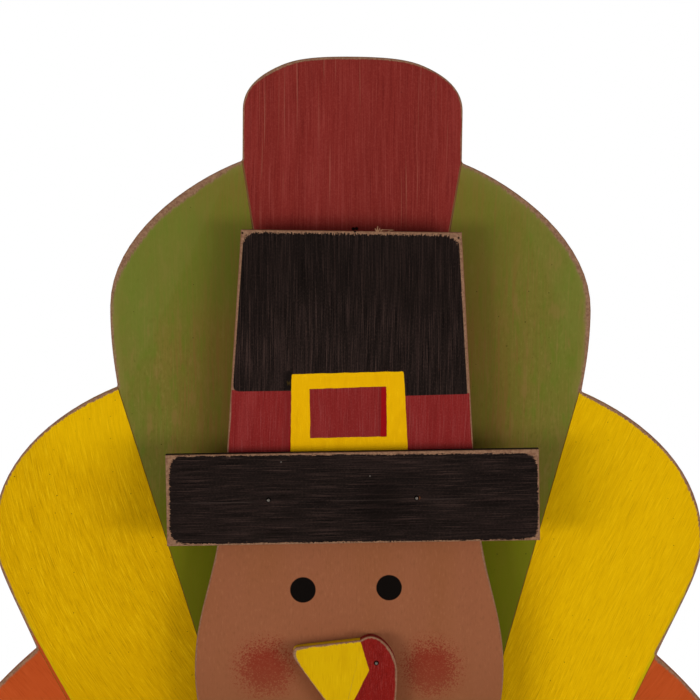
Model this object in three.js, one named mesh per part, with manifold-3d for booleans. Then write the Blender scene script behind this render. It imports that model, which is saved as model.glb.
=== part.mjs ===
// Thanksgiving turkey porch figure: painted fibreboard boards stacked front to back,
// screwed together from behind, on a folding easel leg with a loose-pin hinge.
// Millimetres. Inside the figure group X runs across, Y up along the boards and Z towards
// the front, with Z zero on the tail fan's back face. The group leans the figure back.

import * as THREE from 'three';
import { mergeVertices } from 'three/addons/utils/BufferGeometryUtils.js';
import Module from 'manifold-3d';

const wasm = await Module();
wasm.setup();

// Driving dimensions
const boardThickness = 9;
const seatGap = 0.3;
const leanAngle = THREE.MathUtils.degToRad(9);
const openAngle = THREE.MathUtils.degToRad(18);
const overrun = 12;
const curveSteps = 16;
const cornerSteps = 4;
const roundSteps = 16;

const fanWidth = 406.4;
const fanHeight = 609.6;
const cutterRadius = 1.8;
const grooveWidth = 1;
const grooveDepth = 0.5;

// The body follows the fan: bodyDrop is from the fan's top down to the crown's top
const bodyWidth = 196;
const bodyDrop = 86.4;
const bodyHeight = fanHeight - bodyDrop;
const bodyTilt = THREE.MathUtils.degToRad(0.37);
const crownTilt = THREE.MathUtils.degToRad(-0.1);

// The brim sits at the foot of the crown, at a share of the body's height
const brimWidth = 183.4;
const brimHeight = 45;
const brimCentreShare = 0.75;
const brimCentreHeight = bodyHeight * brimCentreShare;
const brimOffset = 2.2;
const brimTilt = THREE.MathUtils.degToRad(1.6);

// The beak hangs from the brim: beakClearance is the band of face with the eyes between them
const beakWidth = 51.8;
const beakHeight = 60;
const beakClearance = 45.9;
const beakCentreHeight = brimCentreHeight - brimHeight / 2 - beakClearance - beakHeight / 2;
const beakOffset = -0.8;

const footWidth = 78;
const footHeight = 50;
const footSpacing = 84;
const footSplay = THREE.MathUtils.degToRad(6);

const upperSpacerWidth = 84;
const upperSpacerHeight = 60;
const upperSpacerDrop = 3;
const lowerSpacerWidth = 110;
const lowerSpacerHeight = 90;
const lowerSpacerLift = 95;

// The hinge follows the fan: hingeDrop is from the fan's top down to the pin
const hingeDrop = 237.6;
const hingeHeight = fanHeight - hingeDrop;
const leafLength = 50;
const leafWidth = 19;
const leafThickness = 1.1;
const knuckleCount = 5;
const knuckleGap = 0.3;
const pinRadius = 1.1;
const pinClearance = 0.1;
const pinHeadRadius = 1.9;
const pinHeadLength = 1.2;

const legTopWidth = 64;
const legFootWidth = 46;
const legCornerRadius = 7;
const heelLand = 8;

const screwRadius = 1.75;
const screwHeadRadius = 3.6;
const screwBite = 6;
const leafScrewRadius = 1.3;
const leafScrewHeadRadius = 2.4;
const leafScrewBite = 6.5;
const bradRadius = 0.6;
const bradHeadRadius = 0.9;
const bradBite = 5;

// The stack of boards, back to front, each layer one glue gap clear of the one behind it
const layerPitch = boardThickness + seatGap;
const spacerBack = layerPitch;
const bodyBack = spacerBack + layerPitch;
const trimBack = bodyBack + layerPitch;
const stackFront = trimBack + boardThickness;

// Paints and metals
const finishes = {
  fan: { color: 0xca9a03, roughness: 0.6, metalness: 0 },
  face: { color: 0x8a5336, roughness: 0.6, metalness: 0 },
  black: { color: 0x211a17, roughness: 0.55, metalness: 0 },
  beak: { color: 0xc89f04, roughness: 0.55, metalness: 0 },
  orange: { color: 0xae471c, roughness: 0.6, metalness: 0 },
  bare: { color: 0x966e50, roughness: 0.85, metalness: 0 },
  zinc: { color: 0xb9b7ae, roughness: 0.35, metalness: 1 },
  nail: { color: 0x4a443d, roughness: 0.5, metalness: 1 },
};

// Solids and meshes
function solidOf(geometry) {
  const plain = geometry.index ? geometry.toNonIndexed() : geometry.clone();
  plain.deleteAttribute('normal');
  plain.deleteAttribute('uv');
  const merged = mergeVertices(plain);
  const vertProperties = new Float32Array(merged.attributes.position.array);
  const triVerts = new Uint32Array(merged.index.array);
  return new wasm.Manifold(new wasm.Mesh({ numProp: 3, vertProperties, triVerts }));
}

function geometryOf(solid) {
  const found = solid.getMesh();
  const geometry = new THREE.BufferGeometry();
  geometry.setAttribute('position', new THREE.BufferAttribute(found.vertProperties, found.numProp));
  geometry.setIndex(new THREE.BufferAttribute(found.triVerts, 1));
  const faceted = geometry.toNonIndexed();
  faceted.computeVertexNormals();
  return faceted;
}

function cut(geometry, cutters) {
  let solid = solidOf(geometry);
  for (const cutter of cutters) {
    solid = solid.subtract(solidOf(cutter));
  }
  return geometryOf(solid);
}

function joined(geometries) {
  let solid = solidOf(geometries[0]);
  for (const geometry of geometries.slice(1)) {
    solid = solid.add(solidOf(geometry));
  }
  return geometryOf(solid);
}

function named(name, geometry, finish) {
  const mesh = new THREE.Mesh(geometry, new THREE.MeshStandardMaterial(finishes[finish]));
  mesh.name = name;
  return mesh;
}

// Outlines: a row holds the shares, across and up, of a straight line's end, or of a curve's
// two handles and its end
function edgeRun(start, shareRows, across, up) {
  const points = [start];
  let from = start;
  for (const row of shareRows) {
    const marks = [];
    for (let i = 0; i < row.length; i += 2) {
      marks.push(new THREE.Vector2(row[i] * across, row[i + 1] * up));
    }
    const straight = marks.length === 1;
    const curve = straight ? new THREE.LineCurve(from, ...marks) : new THREE.CubicBezierCurve(from, ...marks);
    points.push(...curve.getPoints(straight ? 1 : curveSteps).slice(1));
    from = marks[marks.length - 1];
  }
  return points;
}

// The corner at one point of a run, rounded as the router's cutter leaves it
function roundedCorner(points, index, radius) {
  const corner = points[index];
  const back = points[index - 1].clone().sub(corner).normalize();
  const ahead = points[index + 1].clone().sub(corner).normalize();
  const halfAngle = Math.acos(back.dot(ahead)) / 2;
  const setback = radius / Math.tan(halfAngle);
  const begin = corner.clone().addScaledVector(back, setback);
  const end = corner.clone().addScaledVector(ahead, setback);
  return new THREE.QuadraticBezierCurve(begin, corner, end).getPoints(cornerSteps);
}

function mirroredShape(rightPoints) {
  const left = rightPoints
    .filter((point) => point.x > 0)
    .map((point) => new THREE.Vector2(-point.x, point.y))
    .reverse();
  return new THREE.Shape([...rightPoints, ...left]);
}

function plank(shape, back, thickness) {
  const geometry = new THREE.ExtrudeGeometry(shape, { depth: thickness, bevelEnabled: false });
  return geometry.translate(0, 0, back);
}

// The floor under the leaning boards, as a block that trims what would reach through it
function floorBlock() {
  const depth = 2 * (stackFront + overrun);
  const height = 4 * overrun;
  const block = new THREE.BoxGeometry(fanWidth, height, depth);
  return block.translate(0, -height / 2, 0).rotateX(leanAngle);
}

// Screws and brads, modelled point down at zero with the head up the Z axis, and the same
// form made larger by a gap for the hole that takes it
function fastener(radius, headRadius, length, grow) {
  const taper = headRadius - radius;
  const profile = [
    new THREE.Vector2(0, -grow),
    new THREE.Vector2(radius + grow, 2 * radius),
    new THREE.Vector2(radius + grow, length - taper),
    new THREE.Vector2(headRadius + grow, length),
    new THREE.Vector2(headRadius + grow, length + grow),
    new THREE.Vector2(0, length + grow),
  ];
  const points = grow > 0 ? profile : profile.filter((point, index) => index !== 4);
  return new THREE.LatheGeometry(points, roundSteps).rotateX(Math.PI / 2);
}

function placed(geometry, places) {
  return places.map(([x, y, z]) => geometry.clone().translate(x, y, z));
}

// One mesh for each place, numbered from 1
function fasteners(name, geometry, places, finish) {
  return placed(geometry, places).map((copy, index) => named(`${name}_${index + 1}`, copy, finish));
}

// Boards

const redShares = [
  [0.09, 1, 0.136, 0.998, 0.172, 0.993],
  [0.2251, 0.9856, 0.2694, 0.9746, 0.2694, 0.9562],
  [0.269, 0.9145],
];
const greenShares = [
  [0.408, 0.8965, 0.591, 0.8506, 0.591, 0.7948],
  [0.591, 0.7651, 0.579, 0.7443, 0.571, 0.728],
];
const yellowShares = [
  [0.741, 0.7047, 0.8755, 0.6621, 0.8755, 0.6052],
  [0.8755, 0.5812, 0.8238, 0.5533, 0.767, 0.5108],
];
const orangeShares = [
  [0.9102, 0.4693, 1, 0.4294, 1, 0.3773],
  [1, 0.3412, 0.9596, 0.3117, 0.886, 0.2822],
  [0.75, 0.228, 0.56, 0.17, 0.44, 0.12],
  [0.39, 0.1, 0.354, 0.08, 0.354, 0.05],
];
// Where each pair of grooves would meet, across and up, and how far down they are cut
const grooveRootShares = [[0, 0.368], [0.045, 0.103], [0.07, 0.03]];
const grooveRunShare = 0.82;

function fanEdge() {
  const halfWidth = fanWidth / 2;
  let points = [new THREE.Vector2(0, fanHeight)];
  const feathers = [redShares, greenShares, yellowShares, orangeShares];
  const corners = [];
  for (const shareRows of feathers) {
    const start = points[points.length - 1];
    points = [...points, ...edgeRun(start, shareRows, halfWidth, fanHeight).slice(1)];
    corners.push(points.length - 1);
  }
  corners.pop();
  const rounded = points.flatMap((point, index) =>
    corners.includes(index) ? roundedCorner(points, index, cutterRadius) : [point]);
  const stem = points[points.length - 1];
  rounded.push(new THREE.Vector2(stem.x, -overrun));
  return { points: rounded, corners: corners.map((index) => points[index]) };
}

function groove(corner, [rootAcross, rootUp], side) {
  const start = new THREE.Vector2(side * corner.x, corner.y);
  const root = new THREE.Vector2(rootAcross * fanWidth / 2, rootUp * fanHeight);
  const down = root.clone().sub(start);
  const length = down.length() * grooveRunShare;
  const heading = Math.atan2(down.y, down.x);
  const flare = overrun * (grooveWidth / 2 / grooveDepth);
  const section = new THREE.Shape([
    new THREE.Vector2(0, -grooveDepth),
    new THREE.Vector2(grooveWidth / 2 + flare, overrun),
    new THREE.Vector2(-grooveWidth / 2 - flare, overrun),
  ]);
  const wedge = new THREE.ExtrudeGeometry(section, { depth: length + cutterRadius, bevelEnabled: false });
  const along = new THREE.Vector3(Math.cos(heading), Math.sin(heading), 0);
  const front = new THREE.Vector3(0, 0, 1);
  const across = new THREE.Vector3().crossVectors(front, along);
  wedge.translate(0, 0, -cutterRadius);
  wedge.applyMatrix4(new THREE.Matrix4().makeBasis(across, front, along));
  return wedge.translate(start.x, start.y, boardThickness);
}

function tailFan() {
  const edge = fanEdge();
  const grooves = edge.corners.flatMap((corner, index) =>
    [-1, 1].map((side) => groove(corner, grooveRootShares[index], side)));
  const blank = plank(mirroredShape(edge.points), 0, boardThickness);
  const cutters = [...grooves, ...spacerScrewHoles(), ...fixedLeafHoles(), floorBlock()];
  return named('tail_fan', cut(blank, cutters), 'fan');
}

// The body's outline starts a little above the crown, whose top is sawn off afterwards
const bodyStartShare = 1.01;
const bodyShares = [
  [0.551, 1.01],
  [0.62, 0.7965],
  [0.632, 0.762, 0.65, 0.7257, 0.668, 0.704],
  [0.709, 0.6585, 0.782, 0.632, 0.782, 0.584],
  [0.782, 0.536, 0.673, 0.502, 0.673, 0.452],
  [0.673, 0.392, 1, 0.345, 1, 0.245],
  [1, 0.153, 0.93, 0.06, 0.82, 0],
];

// Turned about the middle of the crown's top, as the boards were set on each other by hand
function turnedAtCrown(geometry, angle) {
  return geometry.translate(0, -bodyHeight, 0).rotateZ(angle).translate(0, bodyHeight, 0);
}

function crownSaw() {
  const height = 2 * overrun;
  const geometry = new THREE.BoxGeometry(bodyWidth, height, 2 * stackFront);
  geometry.translate(0, bodyHeight + height / 2, 0);
  return turnedAtCrown(geometry, crownTilt);
}

function bodyBoard() {
  const top = new THREE.Vector2(0, bodyHeight * bodyStartShare);
  const points = edgeRun(top, bodyShares, bodyWidth / 2, bodyHeight);
  const base = points[points.length - 1];
  points.push(new THREE.Vector2(base.x, -overrun));
  const blank = turnedAtCrown(plank(mirroredShape(points), bodyBack, boardThickness), bodyTilt);
  const cutters = [crownSaw(), ...spacerScrewHoles(), ...bradHoles(), floorBlock()];
  return named('body_board', cut(blank, cutters), 'face');
}

function block(width, height, centreHeight) {
  const geometry = new THREE.BoxGeometry(width, height, boardThickness);
  return geometry.translate(0, centreHeight, spacerBack + boardThickness / 2);
}

const upperSpacerCentre = bodyHeight - upperSpacerDrop - upperSpacerHeight / 2;
const lowerSpacerCentre = lowerSpacerLift + lowerSpacerHeight / 2;

function spacers() {
  const upper = block(upperSpacerWidth, upperSpacerHeight, upperSpacerCentre);
  const lower = block(lowerSpacerWidth, lowerSpacerHeight, lowerSpacerCentre);
  return [
    named('upper_spacer', cut(upper, spacerScrewHoles()), 'bare'),
    named('lower_spacer', cut(lower, spacerScrewHoles()), 'bare'),
  ];
}

function hatBrim() {
  const geometry = new THREE.BoxGeometry(brimWidth, brimHeight, boardThickness);
  geometry.rotateZ(brimTilt);
  geometry.translate(brimOffset, brimCentreHeight, trimBack + boardThickness / 2);
  return named('hat_brim', cut(geometry, bradHoles()), 'black');
}

// The beak points to the left, and the wattle hangs from its upper right corner
const beakStartShares = [-0.913, 0.803];
const beakShares = [
  [0.288, 0.93],
  [0.38, 0.985, 0.45, 1, 0.51, 0.995],
  [0.74, 0.975, 0.985, 0.72, 1, 0.42],
  [1.01, 0.2, 0.98, -0.2, 0.93, -0.45],
  [0.87, -0.8, 0.7, -1, 0.52, -1],
  [0.34, -1, 0.2, -0.82, 0.16, -0.6],
  [0.13, -0.47, 0.08, -0.43, 0, -0.44],
  [-0.04, -0.45, -0.07, -0.42, -0.1, -0.39],
  [-0.95, 0.587],
  [-1.02, 0.68, -1, 0.78, -0.913, 0.803],
];

function beakAndSnood() {
  const halfWidth = beakWidth / 2;
  const halfHeight = beakHeight / 2;
  const start = new THREE.Vector2(beakStartShares[0] * halfWidth, beakStartShares[1] * halfHeight);
  const points = edgeRun(start, beakShares, halfWidth, halfHeight).slice(0, -1);
  const geometry = plank(new THREE.Shape(points), trimBack, boardThickness);
  geometry.translate(beakOffset, beakCentreHeight, 0);
  return named('beak_and_snood', cut(geometry, bradHoles()), 'beak');
}

// One foot: a short shank over three round toes, which the floor trims flat
const footShares = [
  [0.2, 1],
  [0.2, 0.82, 0.24, 0.72, 0.4, 0.66],
  [0.74, 0.56, 1, 0.42, 1, 0.14],
  [1, -0.2, 0.46, -0.2, 0.36, 0.22],
  [0.3, -0.1, 0.2, -0.2, 0, -0.2],
];

function foot(name, side) {
  const top = new THREE.Vector2(0, footHeight);
  const points = edgeRun(top, footShares, footWidth / 2, footHeight);
  const geometry = plank(mirroredShape(points), trimBack, boardThickness);
  geometry.rotateZ(side * footSplay).translate(side * footSpacing / 2, 0, 0);
  return named(name, cut(geometry, [...bradHoles(), floorBlock()]), 'orange');
}

// Fasteners that hold the boards

const spacerScrewSideShare = 0.33;

function spacerScrewPlaces() {
  const tip = bodyBack + screwBite;
  const upper = upperSpacerWidth * spacerScrewSideShare;
  const lower = lowerSpacerWidth * spacerScrewSideShare;
  return [
    [-upper, upperSpacerCentre, tip],
    [upper, upperSpacerCentre, tip],
    [-lower, lowerSpacerCentre, tip],
    [lower, lowerSpacerCentre, tip],
  ];
}

function spacerScrewForm(grow) {
  const length = bodyBack + screwBite;
  return fastener(screwRadius, screwHeadRadius, length, grow).rotateX(Math.PI);
}

function spacerScrewHoles() {
  return placed(spacerScrewForm(seatGap), spacerScrewPlaces());
}

// Brad places on the brim, the beak and one foot, as shares of each piece's half size
const brimBradShares = [[-0.452, -0.027], [0.342, -0.037]];
const beakBradShares = [[0.6, 0.55], [0.55, -0.6]];
const footBradShares = [[0, 0.72], [0, 0.22]];

function brimBradPlaces() {
  return brimBradShares.map(([across, up]) => {
    const place = new THREE.Vector2(across * brimWidth / 2, up * brimHeight / 2);
    place.rotateAround(new THREE.Vector2(0, 0), brimTilt);
    return [place.x + brimOffset, place.y + brimCentreHeight, trimBack - bradBite];
  });
}

function beakBradPlaces() {
  return beakBradShares.map(([across, up]) => [
    across * beakWidth / 2 + beakOffset,
    up * beakHeight / 2 + beakCentreHeight,
    trimBack - bradBite,
  ]);
}

function footBradPlaces() {
  return [-1, 1].flatMap((side) => footBradShares.map(([across, up]) => {
    const place = new THREE.Vector2(across * footWidth / 2, up * footHeight);
    place.rotateAround(new THREE.Vector2(0, 0), side * footSplay);
    return [place.x + side * footSpacing / 2, place.y, trimBack - bradBite];
  }));
}

function bradForm(grow) {
  return fastener(bradRadius, bradHeadRadius, boardThickness + bradBite, grow);
}

function bradHoles() {
  return placed(bradForm(seatGap), [...brimBradPlaces(), ...beakBradPlaces(), ...footBradPlaces()]);
}

// Hinge, in its own space: X along the pin, Y up and Z towards the fan, pin at zero

const knuckleRadius = pinRadius + pinClearance + leafThickness;
const pinStandOff = knuckleRadius + seatGap;

function knuckleStations() {
  const pitch = (leafLength + knuckleGap) / knuckleCount;
  const stations = [];
  for (let i = 0; i < knuckleCount; i += 1) {
    stations.push({ from: -leafLength / 2 + i * pitch, length: pitch - knuckleGap, fixed: i % 2 === 0 });
  }
  return stations;
}

// A section drawn with its first axis up and its second towards the fan, run along the pin
function alongPin(shape, from, length) {
  const geometry = new THREE.ExtrudeGeometry(shape, {
    depth: length, bevelEnabled: false, curveSegments: roundSteps / 2,
  });
  const up = new THREE.Vector3(0, 1, 0);
  const front = new THREE.Vector3(0, 0, 1);
  const across = new THREE.Vector3(1, 0, 0);
  geometry.applyMatrix4(new THREE.Matrix4().makeBasis(up, front, across));
  return geometry.translate(from, 0, 0);
}

function stripSection(low, high, side) {
  const wood = side * knuckleRadius;
  const bare = side * (knuckleRadius - leafThickness);
  return new THREE.Shape([
    new THREE.Vector2(low, bare),
    new THREE.Vector2(high, bare),
    new THREE.Vector2(high, wood),
    new THREE.Vector2(low, wood),
  ]);
}

function ringSection() {
  const ring = new THREE.Shape();
  ring.absarc(0, 0, knuckleRadius, 0, 2 * Math.PI);
  const bore = new THREE.Path();
  bore.absarc(0, 0, pinRadius + pinClearance, 0, 2 * Math.PI, true);
  ring.holes.push(bore);
  return ring;
}

const leafScrewSideShare = 0.32;
const leafScrewDropShare = 0.6;

function leafScrewPlaces(side) {
  const drop = -leafWidth * leafScrewDropShare;
  const face = side * (knuckleRadius - leafThickness);
  return [-1, 1].map((end) => [end * leafLength * leafScrewSideShare, drop, face]);
}

// Leaf screws run away from the pin's side of the leaf into the wood
function leafScrewForm(side, grow) {
  const length = leafThickness + seatGap + leafScrewBite;
  const geometry = fastener(leafScrewRadius, leafScrewHeadRadius, length, grow).translate(0, 0, -length);
  return side > 0 ? geometry.rotateX(Math.PI) : geometry;
}

function leafScrewHoles(side) {
  return placed(leafScrewForm(side, seatGap), leafScrewPlaces(side));
}

function fixedLeafHoles() {
  return leafScrewHoles(1).map((hole) => hole.translate(0, hingeHeight, -pinStandOff));
}

function leaf(name, side) {
  const plateTop = -knuckleRadius - knuckleGap;
  const solids = [alongPin(stripSection(-leafWidth, plateTop, side), -leafLength / 2, leafLength)];
  for (const station of knuckleStations()) {
    if (station.fixed === side > 0) {
      solids.push(alongPin(stripSection(plateTop - leafThickness, 0, side), station.from, station.length));
      solids.push(alongPin(ringSection(), station.from, station.length));
    }
  }
  const bore = new THREE.Shape();
  bore.absarc(0, 0, pinRadius + pinClearance, 0, 2 * Math.PI);
  const cutters = [...leafScrewHoles(side), alongPin(bore, -leafLength, 2 * leafLength)];
  return named(name, cut(joined(solids), cutters), 'zinc');
}

function hingePin() {
  const half = leafLength / 2;
  const profile = [
    new THREE.Vector2(0, -half),
    new THREE.Vector2(pinRadius, -half),
    new THREE.Vector2(pinRadius, half + knuckleGap),
    new THREE.Vector2(pinHeadRadius, half + knuckleGap),
    new THREE.Vector2(pinHeadRadius, half + knuckleGap + pinHeadLength),
    new THREE.Vector2(0, half + knuckleGap + pinHeadLength),
  ];
  const geometry = new THREE.LatheGeometry(profile, roundSteps).rotateZ(-Math.PI / 2);
  return named('hinge_pin', geometry, 'zinc');
}

// Easel leg, in hinge space turned by the opening angle

const legInner = -pinStandOff;
const legOuter = legInner - boardThickness;
const pinAboveFloor = hingeHeight * Math.cos(leanAngle) - pinStandOff * Math.sin(leanAngle);
const legSlope = openAngle - leanAngle;
const heelStart = (knuckleRadius - legInner * Math.cos(openAngle)) / Math.sin(openAngle);
const heelTop = heelStart + heelLand;

function legFootAt(depth) {
  return (depth * Math.sin(legSlope) - pinAboveFloor) / Math.cos(legSlope);
}

// Seen from the side: the heel above the pin is bevelled to bear on the fan's back when open
function legSideSection() {
  const heelDepth = (knuckleRadius - heelTop * Math.sin(openAngle)) / Math.cos(openAngle);
  return new THREE.Shape([
    new THREE.Vector2(legFootAt(legInner), legInner),
    new THREE.Vector2(heelStart, legInner),
    new THREE.Vector2(heelTop, heelDepth),
    new THREE.Vector2(heelTop, legOuter),
    new THREE.Vector2(legFootAt(legOuter), legOuter),
  ]);
}

// Seen from behind: tapered to the foot, with round top corners
function legBackOutline() {
  const half = legTopWidth / 2;
  const bottom = legFootAt(legOuter) - overrun;
  const shape = new THREE.Shape();
  shape.moveTo(-legFootWidth / 2, bottom);
  shape.lineTo(legFootWidth / 2, bottom);
  shape.lineTo(half, heelTop - legCornerRadius);
  shape.quadraticCurveTo(half, heelTop, half - legCornerRadius, heelTop);
  shape.lineTo(-half + legCornerRadius, heelTop);
  shape.quadraticCurveTo(-half, heelTop, -half, heelTop - legCornerRadius);
  return shape;
}

function easelLeg() {
  const outline = solidOf(plank(legBackOutline(), legOuter - overrun, boardThickness + 2 * overrun));
  const side = solidOf(alongPin(legSideSection(), -legTopWidth, 2 * legTopWidth));
  const blank = geometryOf(outline.intersect(side));
  return named('easel_leg', cut(blank, leafScrewHoles(-1)), 'bare');
}

// Assembly

function legGroup() {
  const group = new THREE.Group();
  group.position.set(0, hingeHeight, -pinStandOff);
  group.rotation.x = openAngle;
  group.add(easelLeg(), leaf('hinge_moving_leaf', -1));
  group.add(...fasteners('moving_leaf_screw', leafScrewForm(-1, 0), leafScrewPlaces(-1), 'zinc'));
  return group;
}

function hingeGroup() {
  const group = new THREE.Group();
  group.position.set(0, hingeHeight, -pinStandOff);
  group.add(leaf('hinge_fixed_leaf', 1), hingePin());
  group.add(...fasteners('fixed_leaf_screw', leafScrewForm(1, 0), leafScrewPlaces(1), 'zinc'));
  return group;
}

const figure = new THREE.Group();
figure.add(tailFan(), ...spacers(), bodyBoard(), hatBrim(), beakAndSnood());
figure.add(foot('left_foot', -1), foot('right_foot', 1));
figure.add(...fasteners('spacer_screw', spacerScrewForm(0), spacerScrewPlaces(), 'zinc'));
figure.add(...fasteners('brim_brad', bradForm(0), brimBradPlaces(), 'nail'));
figure.add(...fasteners('beak_brad', bradForm(0), beakBradPlaces(), 'nail'));
figure.add(...fasteners('foot_brad', bradForm(0), footBradPlaces(), 'nail'));
figure.add(hingeGroup(), legGroup());
figure.rotation.x = Math.PI / 2 - leanAngle;

// The origin is the middle of the ground that the figure covers
const turkey = new THREE.Group();
turkey.add(figure);
const reach = new THREE.Box3().setFromObject(turkey);
figure.position.x = -(reach.min.x + reach.max.x) / 2;
figure.position.y = -(reach.min.y + reach.max.y) / 2;
turkey.updateMatrixWorld(true);

export default turkey;
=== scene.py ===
"""Looks of the thanksgiving turkey figure: painted fibreboard boards with sanded arrises."""

import math

import bpy
import numpy as np
from mathutils import Matrix, Vector


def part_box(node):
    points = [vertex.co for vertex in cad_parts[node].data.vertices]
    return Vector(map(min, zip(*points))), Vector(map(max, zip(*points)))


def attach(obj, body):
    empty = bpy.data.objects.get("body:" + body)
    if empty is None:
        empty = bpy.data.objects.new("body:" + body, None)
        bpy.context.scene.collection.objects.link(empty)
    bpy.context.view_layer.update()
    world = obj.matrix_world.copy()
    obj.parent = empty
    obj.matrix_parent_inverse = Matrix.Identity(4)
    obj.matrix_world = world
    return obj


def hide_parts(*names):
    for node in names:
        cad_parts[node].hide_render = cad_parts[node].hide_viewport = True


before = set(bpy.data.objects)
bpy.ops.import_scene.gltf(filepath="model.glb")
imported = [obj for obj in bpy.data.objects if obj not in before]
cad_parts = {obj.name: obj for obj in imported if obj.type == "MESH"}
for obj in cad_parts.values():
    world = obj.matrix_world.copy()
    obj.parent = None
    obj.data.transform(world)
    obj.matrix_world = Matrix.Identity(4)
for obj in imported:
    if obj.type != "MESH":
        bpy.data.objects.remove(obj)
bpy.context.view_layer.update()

# Lengths and places on the boards are in mm, and Blender's own are in metres
MM = 0.001
LEAN = math.radians(9)
LEG_SPREAD = math.radians(18)
PIN_PLACE = Vector((0, 372, -2.6)) * MM
STAND_BACK = Vector((0, -46.638, 0)) * MM

# A board's own space: X across, Y up along the boards, Z towards the front
BOARD = Matrix.Translation(STAND_BACK) @ Matrix.Rotation(math.pi / 2 - LEAN, 4, "X")
LEG = BOARD @ Matrix.Translation(PIN_PLACE) @ Matrix.Rotation(LEG_SPREAD, 4, "X")

# How far the boards' fronts are from the fan's back, and half a board's thickness
FAN_FRONT, BODY_FRONT, TRIM_FRONT = 9, 27.6, 36.9
HALF_BOARD = 4.5
# How far behind a board's front its side begins, past the arris
ARRIS_DEPTH = 0.7
# Places nearer than this count as the same
SAME = 0.01 * MM

# The lines between red, green, yellow and orange, each from the outline down to its root
LEFT_LINES = [
    ((-54.66, 557.48), (0.6, 224.33)),
    ((-116.03, 443.79), (8.6, 62.79)),
    ((-154.9, 311.38), (10.5, 18.29)),
]
RIGHT_LINES = [
    ((54.4, 557.48), (1.0, 224.33)),
    ((114.9, 443.79), (11.3, 62.79)),
    ((155.5, 311.38), (15.6, 18.29)),
]

# Which fasteners have their heads in which board
HEADS_IN = {
    "tail_fan": "spacer_screw",
    "hat_brim": "brim_brad",
    "beak_and_snood": "beak_brad",
    "left_foot": "foot_brad",
    "right_foot": "foot_brad",
}
# The middle of each fastener in the standing figure, in metres
FASTENERS = {
    node: sum(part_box(node), Vector()) / 2
    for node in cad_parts
    if "screw" in node or "brad" in node
}


def on_board(*fasteners):
    """Where fasteners are on the boards."""
    return [tuple((BOARD.inverted() @ FASTENERS[name]).xy / MM) for name in fasteners]


BRIM_BRADS = on_board("brim_brad_1", "brim_brad_2")
BEAK_BRADS = on_board("beak_brad_1", "beak_brad_2")


# Finishes


def hue(code):
    """A colour from its sRGB hex value, turned to linear."""
    parts = [int(code[i : i + 2], 16) / 255 for i in (0, 2, 4)]
    return (*[p / 12.92 if p <= 0.04045 else ((p + 0.055) / 1.055) ** 2.4 for p in parts], 1)


def feed(tree, socket, value):
    """Sets an input to a value, or links it to an output or to a node's first open output."""
    if isinstance(value, bpy.types.Node):
        value = next(s for s in value.outputs if s.enabled)
    if isinstance(value, bpy.types.NodeSocket):
        tree.links.new(value, socket)
    elif value is not None:
        socket.default_value = value


def add(tree, kind, *feeds, into=None, **settings):
    """One node with its settings. Feeds go to its open inputs in order, and into names others."""
    node = tree.nodes.new("ShaderNode" + kind)
    for key, value in settings.items():
        setattr(node, key, value)
    wires = list(zip([s for s in node.inputs if s.enabled], feeds))
    wires += [(node.inputs[name], value) for name, value in (into or {}).items()]
    for socket, value in wires:
        feed(tree, socket, value)
    return node


# How far apart two seeds of a mottle lie in the same cloud, in its own scale
SEED_STEPS = (31.7, 17.3, 5.1)


class Finish:
    """A material that is built up coat by coat: its colour, roughness and height so far."""

    def __init__(self, name, colour, roughness, space=BOARD, **shader):
        self.material = bpy.data.materials.new(name)
        self.material.use_nodes = True
        self.tree = self.material.node_tree
        self.tree.nodes.clear()
        self.shader = add(self.tree, "BsdfPrincipled", into=shader)
        add(self.tree, "OutputMaterial", self.shader)
        inverse = space.inverted()
        to_board = {
            "Location": inverse.translation / MM,
            "Rotation": inverse.to_euler(),
            "Scale": (1 / MM,) * 3,
        }
        seat = add(self.tree, "TexCoord").outputs["Object"]
        self.place = add(self.tree, "Mapping", seat, into=to_board)
        self.across, self.up, self.out = add(self.tree, "SeparateXYZ", self.place).outputs
        self.strokes = self.place
        self.colour = hue(colour)
        self.roughness = roughness
        self.height = 0.0

    def mottle(self, size, where=None, seed=0, detail=2, roughness=0.5):
        """Cloudy values about 0.5 whose features have that size in mm, along each axis."""
        shift = {
            "Location": tuple(seed * step for step in SEED_STEPS),
            "Scale": tuple(1 / s for s in size),
        }
        spread = add(self.tree, "Mapping", where or self.strokes, into=shift)
        grain = {"Scale": 1.0, "Detail": detail, "Roughness": roughness}
        return add(self.tree, "TexNoise", spread, into=grain).outputs[0]

    def coat(self, cover, colour, begin=None, full=None, strength=1.0, roughness=None, height=0.0):
        """Lays a colour over what is there, with its roughness, and raises the surface by height
        mm. The coat starts where cover passes begin and has its strength where cover is at full."""
        tree = self.tree
        if begin is not None:
            limits = (begin, full, 0, strength)
            cover = add(tree, "MapRange", cover, *limits, interpolation_type="SMOOTHSTEP")
        colour = hue(colour) if isinstance(colour, str) else colour
        self.colour = add(tree, "Mix", cover, self.colour, colour, data_type="RGBA")
        if roughness is not None:
            self.roughness = add(tree, "Mix", cover, self.roughness, roughness, data_type="FLOAT")
        if height:
            self.height = add(tree, "Math", cover, height, self.height, operation="MULTIPLY_ADD")

    def finished(self, relief):
        """Wires what was built up into the shader, with that share of its relief."""
        feed(self.tree, self.shader.inputs["Base Color"], self.colour)
        feed(self.tree, self.shader.inputs["Roughness"], self.roughness)
        if isinstance(self.height, bpy.types.Node):
            bumps = {"Strength": relief, "Distance": MM, "Height": self.height}
            feed(self.tree, self.shader.inputs["Normal"], add(self.tree, "Bump", into=bumps))
        return self.material


BARE_BOARD, BARE_ROUGHNESS = "906a4d", 0.85
# How far paint stands above bare board
PAINT_THICKNESS = 0.05
# Mottle strays from 0.5 by about a quarter, so four times that is a full swing
FULL_SWING = 4
# Where a bent brush stroke runs straight
BEND_MIDDLE = 400


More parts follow.
